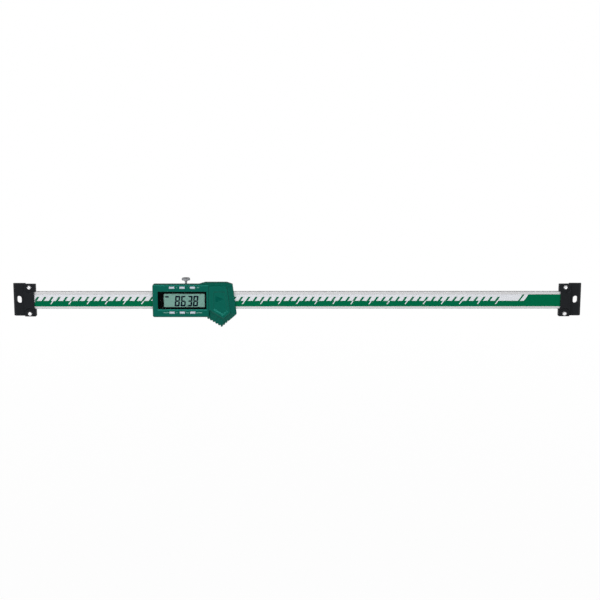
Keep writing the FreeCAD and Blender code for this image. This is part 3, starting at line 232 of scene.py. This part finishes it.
class Finish:
    """One procedural material on a Principled shader, patterned in the object's own space."""

    def __init__(self, shader_inputs):
        self.material = bpy.data.materials.new("finish")
        self.material.use_nodes = True
        self.tree = self.material.node_tree
        self.shader = self.tree.nodes["Principled BSDF"]
        self.place = self.tree.nodes.new("ShaderNodeTexCoord").outputs["Object"]
        for socket, value in shader_inputs.items():
            self.shader.inputs[socket].default_value = value

    def link(self, value, socket):
        """Leads a value to one of the shader's inputs."""
        self.tree.links.new(value, self.shader.inputs[socket])

    def noise(self, size, stretch=(1, 1, 1), detail=3.0):
        """Noise from 0 to 1 whose grains are about that size, longer along axes stretched by more."""
        scale = [1 / (size * along) for along in stretch]
        mapping = add_node(self.tree, "ShaderNodeMapping", {"Vector": self.place, "Scale": scale})
        inputs = {"Vector": mapping.outputs["Vector"], "Scale": 1.0, "Detail": detail}
        return add_node(self.tree, "ShaderNodeTexNoise", inputs).outputs["Fac"]

    def between(self, noise, low, high):
        """A number from low to high as noise goes through its middle half."""
        return ranged(self.tree, noise, 0.25, 0.75, low, high)

    def rounded(self, radius):
        """The surface's normal, turned near the edges as if they were rounded by a radius."""
        bevel = add_node(self.tree, "ShaderNodeBevel", {"Radius": radius}, samples=BEVEL_SAMPLES)
        return bevel.outputs["Normal"]

    def edges(self, radius):
        """1 along the edges of a solid, falling to 0 about a radius away."""
        plain = self.tree.nodes.new("ShaderNodeNewGeometry").outputs["Normal"]
        normals = {0: self.rounded(radius), 1: plain}
        turn = add_node(self.tree, "ShaderNodeVectorMath", normals, operation="DOT_PRODUCT")
        return ranged(self.tree, turn.outputs["Value"], EDGE_START, EDGE_FULL, 0.0, 1.0)

    def varied(self, noise, colour, low, high):
        """A colour that goes from low to high times itself with noise."""
        share = self.between(noise, 0.0, 1.0)
        return mixed_colours(self.tree, share, shade(colour, low), shade(colour, high))

    def colour(self, noise, colour, low, high):
        """Base colour that varies with noise."""
        self.link(self.varied(noise, colour, low, high), "Base Color")

    def worn_and_highlit_edges(self, noise, colour, low, high, edge_wear_and_highlight, radius):
        """As colour, with the edges lighter in patches towards a factor times the colour: rubbed wear, and
        where the factor is large, as on the black brackets, partly a painted highlight along the edges.
        """
        patches = self.between(self.noise(WEAR_PATCH), WEAR_LEAST, 1.0)
        rubbed_and_highlit = combined(self.tree, "MULTIPLY", self.edges(radius), patches)
        ground = self.varied(noise, colour, low, high)
        self.link(mixed_colours(self.tree, rubbed_and_highlit, ground, shade(colour, edge_wear_and_highlight)), "Base Color")

    def rough(self, noise, low, high):
        """Roughness from low to high with noise."""
        self.link(self.between(noise, low, high), "Roughness")

    def bumps(self, noise, height, strength, softness):
        """Bumps on a surface whose edges look rounded by a softness."""
        inputs = {
            "Height": noise, "Distance": height, "Strength": strength, "Normal": self.rounded(softness)}
        self.link(add_node(self.tree, "ShaderNodeBump", inputs).outputs["Normal"], "Normal")


def brushed(colour, lay, roughness, metal=1.0):
    """Ground metal with fine scratches that run along one axis; a satin one has less pure metal."""
    finish = Finish({"Metallic": metal})
    scratches = finish.noise(SCRATCH_WIDTH, [SCRATCH_STRETCH if axis == lay else 1 for axis in "xyz"])
    finish.worn_and_highlit_edges(scratches, colour, low=0.96, high=1.04, edge_wear_and_highlight=1.05, radius=0.2 * MM)
    finish.rough(scratches, low=roughness * 0.9, high=roughness * 1.1)
    finish.bumps(scratches, height=0.002 * MM, strength=0.3, softness=0.15 * MM)
    return finish.material


def plated(colour, roughness, edge_tint=1.0):
    """Plated metal with a faint cloudiness."""
    finish = Finish({"Metallic": 1.0, "Specular Tint": (edge_tint, edge_tint, edge_tint, 1.0)})
    clouds = finish.noise(size=0.8 * MM)
    finish.worn_and_highlit_edges(clouds, colour, low=0.9, high=1.08, edge_wear_and_highlight=1.25, radius=0.15 * MM)
    finish.rough(clouds, low=roughness * 0.8, high=roughness * 1.25)
    finish.bumps(finish.noise(size=0.15 * MM), height=0.003 * MM, strength=0.5, softness=0.1 * MM)
    return finish.material


def moulded(colour, roughness, grain, depth, specular, edge_wear_and_highlight=1.3, gloss=WHITE):
    """Moulded plastic or paint with a fine spark-eroded grain, edges rubbed lighter (on the black brackets
    partly a painted edge highlight) and a tint to its gloss.
    """
    finish = Finish({"Specular IOR Level": specular, "Specular Tint": gloss})
    finish.worn_and_highlit_edges(finish.noise(size=3.0 * MM), colour, low=0.93, high=1.07, edge_wear_and_highlight=edge_wear_and_highlight, radius=0.3 * MM)
    texture = finish.noise(grain, detail=2.0)
    finish.rough(texture, low=roughness * 0.9, high=roughness * 1.15)
    finish.bumps(texture, height=depth, strength=0.6, softness=0.15 * MM)
    return finish.material


def rubber(colour):
    """Silicone or rubber with a dusty bloom."""
    finish = Finish({"Specular IOR Level": 0.2})
    dust = finish.noise(size=0.4 * MM)
    finish.colour(dust, colour, low=0.9, high=1.1)
    finish.rough(dust, low=0.6, high=0.8)
    finish.bumps(dust, height=0.01 * MM, strength=0.5, softness=0.1 * MM)
    return finish.material


def printed(colour, roughness, specular):
    """A flat ink or film: an even colour with a slight mottle and a fine tooth."""
    finish = Finish({"Specular IOR Level": specular})
    mottle = finish.noise(size=1.5 * MM)
    finish.colour(mottle, colour, low=0.96, high=1.04)
    finish.rough(mottle, low=roughness * 0.9, high=roughness * 1.1)
    finish.bumps(finish.noise(size=0.2 * MM), height=0.002 * MM, strength=0.4, softness=0.02 * MM)
    return finish.material


def clear_plastic(tint, alpha, specular):
    """A clear lens: mostly see-through, with a soft gloss and faint wipe marks."""
    finish = Finish({"Alpha": alpha, "Specular IOR Level": specular})
    wipes = finish.noise(size=0.8 * MM, stretch=(12, 1, 1))
    finish.colour(wipes, tint, low=0.9, high=1.1)
    finish.rough(wipes, low=0.05, high=0.12)
    return finish.material


def materials():
    """The finish of each slot in the record."""
    finishes = {
        "beam_steel": brushed((0.60, 0.60, 0.61, 1), lay="x", roughness=0.46, metal=0.65),
        "etched_strip": brushed((0.55, 0.50, 0.40, 1), lay="z", roughness=0.40),
        "label_film": printed(linear(220, 222, 227), roughness=0.45, specular=0.08),
        "label_green": printed(linear(1, 102, 67), roughness=0.5, specular=0.015),
        # The black brackets' edges lighten five times: partly rubbed paint, partly a painted highlight where
        # light would catch the edges
        "bracket_black": moulded(
            linear(25, 27, 30), roughness=0.5, grain=0.25 * MM, depth=0.015 * MM, specular=0.10, edge_wear_and_highlight=5.0),
        "screw_bright": plated((0.86, 0.86, 0.87, 1), roughness=0.40),
        "frame_steel": brushed((0.50, 0.51, 0.53, 1), lay="x", roughness=0.36),
        "gib_bronze": brushed((0.60, 0.42, 0.20, 1), lay="x", roughness=0.35),
        "screw_steel": plated((0.50, 0.50, 0.52, 1), roughness=0.32),
        "lock_screw_steel": plated((0.39, 0.40, 0.42, 1), roughness=0.50, edge_tint=0.6),
        "housing_green": moulded(
            linear(2, 81, 67), roughness=0.24, grain=0.18 * MM, depth=0.0025 * MM, specular=0.40, edge_wear_and_highlight=1.12,
            gloss=(0.15, 1.0, 0.88, 1)),
        "clear_lens": clear_plastic(linear(12, 16, 15), alpha=0.04, specular=0.3),
        "bezel_black": printed(linear(6, 6, 7), roughness=0.5, specular=0.01),
        "display_glass": printed(linear(126, 168, 156), roughness=0.4, specular=0.05),
        "connector_rubber": rubber(linear(60, 60, 64)),
        "circuit_board": printed(linear(24, 92, 52), roughness=0.4, specular=0.3),
        "chip_resin": moulded(
            linear(22, 22, 22), roughness=0.35, grain=0.5 * MM, depth=0.01 * MM, specular=0.4),
        "keypad_silicone": rubber(linear(214, 212, 204)),
        "button_silver": moulded(
            linear(190, 200, 210), roughness=0.35, grain=0.15 * MM, depth=0.004 * MM, specular=0.2, edge_wear_and_highlight=1.1),
        "battery_steel": plated((0.66, 0.66, 0.65, 1), roughness=0.24),
        "contact_brass": plated((0.72, 0.52, 0.20, 1), roughness=0.26),
        "port_black": moulded(
            linear(24, 24, 25), roughness=0.5, grain=0.2 * MM, depth=0.01 * MM, specular=0.1),
        "display_ink": printed(linear(8, 18, 34), roughness=0.4, specular=0.02),
        "legend_print": printed(linear(120, 168, 158), roughness=0.5, specular=0.05),
        # Painted shade: this darker, less glossy green in the arrow's recess stands in for the shade there
        "arrow_paint": printed(linear(2, 82, 70), roughness=0.5, specular=0.02),
    }
    for slot, material in finishes.items():
        material.name = slot
    return finishes


def new_piece(name, mesh, body, slot):
    """A mesh as a named piece that rides on a body with a slot's finish."""
    piece = bpy.data.objects.new(name, mesh)
    bpy.context.scene.collection.objects.link(piece)
    mesh.materials.append(FINISHES[slot])
    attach(piece, body)


def flat_print(name, outlines, level, thickness, body, slot):
    """Printed shapes: outlines of (x, z) points as thin solids that stand on a surface facing -Y."""
    shape = bmesh.new()
    for outline in outlines:
        back = [shape.verts.new((x, level, z)) for x, z in outline]
        front = [shape.verts.new((x, level - thickness, z)) for x, z in outline]
        shape.faces.new(back)
        shape.faces.new(front)
        for here in range(len(outline)):
            shape.faces.new([back[here - 1], back[here], front[here], front[here - 1]])
    bmesh.ops.recalc_face_normals(shape, faces=shape.faces)
    mesh = bpy.data.meshes.new(name)
    shape.to_mesh(mesh)
    shape.free()
    new_piece(name, mesh, body, slot)


def slanted(middle, width, low, high, slant, pivot):
    """A stroke between two heights whose sides lean; its middle is at the pivot's height."""
    half = width / 2
    return [
        (middle + (z - pivot) * slant + side * half, z)
        for z, side in ((low, -1), (low, 1), (high, 1), (high, -1))
    ]


def places(start, pitch, low, high):
    """Evenly spaced places between two ends, in step with a start."""
    first = math.ceil((low - start) / pitch)
    last = math.floor((high - start) / pitch)
    return [start + number * pitch for number in range(first, last + 1)]


def marks(left_start, right_start, pitch, low, high):
    """Places of the label's marks: a run in step with each start, and even steps between the runs."""
    left = places(left_start, pitch, low, LEFT_RUN_END)
    right = places(right_start, pitch, RIGHT_RUN_START, high)
    gap = right[0] - left[-1]
    count = round(gap / pitch)
    return left + [left[-1] + gap * number / count for number in range(1, count)] + right


def label_print():
    """The label's green print: slanted ticks on a notched band, a lone tick and a solid end."""
    low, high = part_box("scale_label")
    left, right = low.x, high.x
    bottom, top = low.z - PRINT_OVERLAP, high.z
    tick_pivot = (TICK_TOP + BAND_TOP) / 2
    notch_pivot = (BAND_TOP + NOTCH_BOTTOM) / 2
    first = left + TICK_PITCH
    ticks = marks(LEFT_TICK, RIGHT_TICK, TICK_PITCH, first, LAST_TICK)
    notches = marks(LEFT_NOTCH, RIGHT_NOTCH, NOTCH_PITCH, first, LAST_TICK)
    outlines = [slanted(x, TICK_WIDTH, BAND_TOP, TICK_TOP, PRINT_SLANT, tick_pivot) for x in ticks]
    # The band in stretches from notch to notch: start is the left side of the next one
    start = [(left, NOTCH_BOTTOM), (left, BAND_TOP)]
    for x in notches:
        lower_left, lower_right, upper_right, upper_left = slanted(
            x, NOTCH_WIDTH, NOTCH_BOTTOM, BAND_TOP, PRINT_SLANT, notch_pivot)
        outlines.append(start + [upper_left, lower_left])
        start = [lower_right, upper_right]
    outlines.append(start + [(SOLID_START, BAND_TOP), (SOLID_START, NOTCH_BOTTOM)])
    solid_top = SOLID_START + (top - BAND_TOP) * PRINT_SLANT
    outlines.append([
        (SOLID_START, NOTCH_BOTTOM), (SOLID_START, BAND_TOP), (solid_top, top), (right, top),
        (right, NOTCH_BOTTOM)])
    outlines.append([(left, bottom), (left, NOTCH_BOTTOM), (right, NOTCH_BOTTOM), (right, bottom)])
    outlines.append(slanted(LONE_TICK, LONE_TICK_WIDTH, BAND_TOP, top, PRINT_SLANT, BAND_TOP))
    flat_print("label_print", outlines, low.y, PRINT_THICKNESS, "beam_unit", "label_green")


def digit_outlines(figure, middle):
    """The lit strokes of one figure of the display, leaning a little."""
    half = DIGIT_WIDTH / 2
    inner = half - STROKE
    chamfer = CORNER_CUT / 2
    waist = (DIGIT_TOP + DIGIT_BOTTOM) / 2
    shapes = {}
    for name, edge, way in (("a", DIGIT_TOP, -1), ("d", DIGIT_BOTTOM, 1)):
        corner, inside = edge + way * chamfer, edge + way * STROKE
        shapes[name] = [
            (CORNER_CUT - half, edge), (half - CORNER_CUT, edge), (half - chamfer, corner),
            (inner, inside), (-inner, inside), (chamfer - half, corner)]
    tip = half - STROKE / 2 - SEGMENT_GAP
    shoulder = tip - STROKE / 2
    upper, lower = waist + STROKE / 2, waist - STROKE / 2
    shapes["g"] = [
        (-tip, waist), (-shoulder, upper), (shoulder, upper),
        (tip, waist), (shoulder, lower), (-shoulder, lower)]
    for name, side, edge, way in (("f", -1, DIGIT_TOP, -1), ("b", 1, DIGIT_TOP, -1),
                                  ("e", -1, DIGIT_BOTTOM, 1), ("c", 1, DIGIT_BOTTOM, 1)):
        end = waist - way * SEGMENT_GAP
        shapes[name] = [
            (side * half, edge + way * CORNER_CUT), (side * half, end - way * STROKE / 4),
            (side * (half - STROKE / 2), end), (side * inner, end - way * STROKE / 2),
            (side * inner, edge + way * STROKE), (side * (half - chamfer), edge + way * chamfer)]
    return [
        [(middle + x + (z - waist) * DIGIT_SLANT, z) for x, z in shapes[name]]
        for name in SEGMENTS[figure]
    ]


def display_figures():
    """The reading on the display, its point and its sign."""
    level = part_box("lcd_panel")[0].y
    outlines = []
    for figure, middle in zip(FIGURES, DIGIT_MIDDLES):
        outlines += digit_outlines(figure, middle)
    point_top = DIGIT_BOTTOM + POINT_SIZE
    outlines.append(slanted(POINT_MIDDLE, POINT_SIZE, DIGIT_BOTTOM, point_top, DIGIT_SLANT, DIGIT_BOTTOM))
    outlines.append(slanted(SIGN_MIDDLE, SIGN_WIDTH, SIGN_TOP - SIGN_HEIGHT, SIGN_TOP, 0, SIGN_TOP))
    flat_print("display_figures", outlines, level, INK_THICKNESS, "slider", "display_ink")


def lettering(words, height):
    """A mesh of plain letters in the XY plane, with capitals of a height."""
    text = bpy.data.curves.new("lettering", "FONT")
    text.body = words
    text.offset = LEGEND_BOLDNESS
    text.extrude = LETTER_DEPTH
    text.resolution_u = LETTER_CURVE_STEPS
    holder = bpy.data.objects.new("lettering", text)
    bpy.context.scene.collection.objects.link(holder)
    mesh = bpy.data.meshes.new_from_object(holder.evaluated_get(bpy.context.evaluated_depsgraph_get()))
    bpy.data.objects.remove(holder)
    bpy.data.curves.remove(text)
    for vertex in mesh.vertices:
        vertex.co.xy *= height / CAPITAL_HEIGHT
    return mesh


def legends():
    """Pale marks on the housing's front beside the buttons."""
    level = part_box("lcd_window")[0].y - WINDOW_SINK
    for name, (words, left, foot, height) in LEGENDS.items():
        mesh = lettering(words, height)
        for vertex in mesh.vertices:
            x, y, lift = vertex.co
            share = (lift + LETTER_DEPTH) / (2 * LETTER_DEPTH)
            vertex.co = (left + x, level - share * LEGEND_THICKNESS, foot + y)
        mesh.name = name
        new_piece(name, mesh, "slider", "legend_print")


def arrow_paint():
    """Painted shade in the cover's recessed arrow: a less glossy green that renders darker, standing in for
    the recess's shade. The arrow points the way the cover slides.
    """
    low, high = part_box("battery_cover")
    left = low.x + ARROW_FROM_LEFT + ARROW_MARGIN
    right = low.x + ARROW_FROM_LEFT + ARROW_LENGTH - 2 * ARROW_MARGIN
    middle = high.z - ARROW_FROM_TOP - ARROW_HEIGHT / 2
    half = ARROW_HEIGHT / 2 - 2 * ARROW_MARGIN
    outline = [(left, middle - half), (right, middle), (left, middle + half)]
    level = low.y + ARROW_FROM_FRONT
    flat_print("arrow_paint", [outline], level, INK_THICKNESS, "battery_cover", "arrow_paint")


def battery_mark():
    """The plus sign on the battery's front."""
    low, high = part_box("battery")
    x, z = (low.x + high.x) / 2, (low.z + high.z) / 2
    arm, half = BATTERY_MARK / 2, BATTERY_MARK_STROKE / 2
    quarter = [(half, half), (half, arm), (-half, arm)]
    outline = []
    for _ in range(4):
        outline += [(x + across, z + up) for across, up in quarter]
        quarter = [(-up, across) for across, up in quarter]
    flat_print("battery_plus_mark", [outline], low.y, INK_THICKNESS, "slider", "display_ink")


def dress_nodes():
    """Each CAD node takes the finish of its slot."""
    for entry in frame["record"]["subparts"]:
        node = frame["nodes"][entry["node"]]
        node.data.materials.clear()
        node.data.materials.append(FINISHES[entry["material_slot"]])


def camera():
    """The camera at the photograph's place."""
    lens = bpy.data.cameras.new("camera")
    lens.sensor_width = SENSOR_MM
    lens.lens = SENSOR_MM * FOCAL_PIXELS / IMAGE_WIDTH
    eye = bpy.data.objects.new("camera", lens)
    eye.location = CAMERA_PLACE
    eye.rotation_euler = Euler((math.pi / 2 - CAMERA_PITCH, CAMERA_ROLL, CAMERA_YAW))
    bpy.context.scene.collection.objects.link(eye)
    bpy.context.scene.camera = eye


def mirrored(tree, rays):
    """1 for rays that come off gloss or through glass."""
    return combined(tree, "MAXIMUM", rays.outputs["Is Glossy Ray"], rays.outputs["Is Transmission Ray"])


def world():
    """White where it is seen, with a dimmer ceiling in reflections, and softer where it lights the object."""
    surroundings = bpy.data.worlds.new("studio")
    surroundings.use_nodes = True
    bpy.context.scene.world = surroundings
    tree = surroundings.node_tree
    background = tree.nodes["Background"]
    background.inputs["Color"].default_value = WHITE
    rays = tree.nodes.new("ShaderNodeLightPath")
    sky = tree.nodes.new("ShaderNodeTexCoord").outputs["Generated"]
    direction = add_node(tree, "ShaderNodeSeparateXYZ", {"Vector": sky})
    ceiling = ranged(tree, direction.outputs["Z"], CEILING_START, CEILING_FULL, 1.0, CEILING_LEVEL)
    unseen = mixed_numbers(tree, mirrored(tree, rays), AMBIENT, ceiling)
    level = mixed_numbers(tree, rays.outputs["Is Camera Ray"], unseen, 1.0)
    tree.links.new(level, background.inputs["Strength"])


def floor_paint():
    """A floor that is pale near the object, where it keeps a shadow, and plain white further out."""
    paint = bpy.data.materials.new("floor_white")
    paint.use_nodes = True
    tree = paint.node_tree
    shader = tree.nodes["Principled BSDF"]
    shader.inputs["Base Color"].default_value = FLOOR_COLOUR
    shader.inputs["Roughness"].default_value = FLOOR_ROUGHNESS
    glow = tree.nodes.new("ShaderNodeEmission")
    rays = tree.nodes.new("ShaderNodeLightPath")
    seen = combined(tree, "MAXIMUM", rays.outputs["Is Camera Ray"], mirrored(tree, rays))
    position = tree.nodes.new("ShaderNodeNewGeometry").outputs["Position"]
    reach = add_node(tree, "ShaderNodeVectorMath", {0: position}, operation="LENGTH")
    whiteness = ranged(tree, reach.outputs["Value"], FLOOR_NEAR, FLOOR_FAR, FLOOR_GLOW, 1.0)
    share = combined(tree, "MULTIPLY", seen, whiteness)
    both = {"Fac": share, 1: shader.outputs["BSDF"], 2: glow.outputs["Emission"]}
    mix = add_node(tree, "ShaderNodeMixShader", both)
    tree.links.new(mix.outputs["Shader"], tree.nodes["Material Output"].inputs["Surface"])
    return paint


def floor():
    """A flat floor some way below the object."""
    mesh = bpy.data.meshes.new("floor")
    half = FLOOR_SIZE / 2
    height = CAD_BOX[0].z - FLOOR_BELOW
    corners = [(-half, -half, height), (half, -half, height), (half, half, height), (-half, half, height)]
    mesh.from_pydata(corners, [], [(0, 1, 2, 3)])
    mesh.materials.append(floor_paint())
    ground = bpy.data.objects.new("floor", mesh)
    bpy.context.scene.collection.objects.link(ground)


def lamps():
    """Soft panels that face the origin, near the middle of the object."""
    for name, (place, width, height, power) in LAMPS.items():
        panel = bpy.data.lights.new(name, "AREA")
        panel.shape = "RECTANGLE"
        panel.size = width
        panel.size_y = height
        panel.energy = power
        lamp = bpy.data.objects.new(name, panel)
        lamp.location = place
        lamp.rotation_euler = (-Vector(place)).to_track_quat("-Z", "Y").to_euler()
        bpy.context.scene.collection.objects.link(lamp)


FINISHES = materials()
dress_nodes()
label_print()
display_figures()
legends()
arrow_paint()
battery_mark()
camera()
world()
floor()
lamps()
bpy.context.scene.view_settings.view_transform = "Standard"
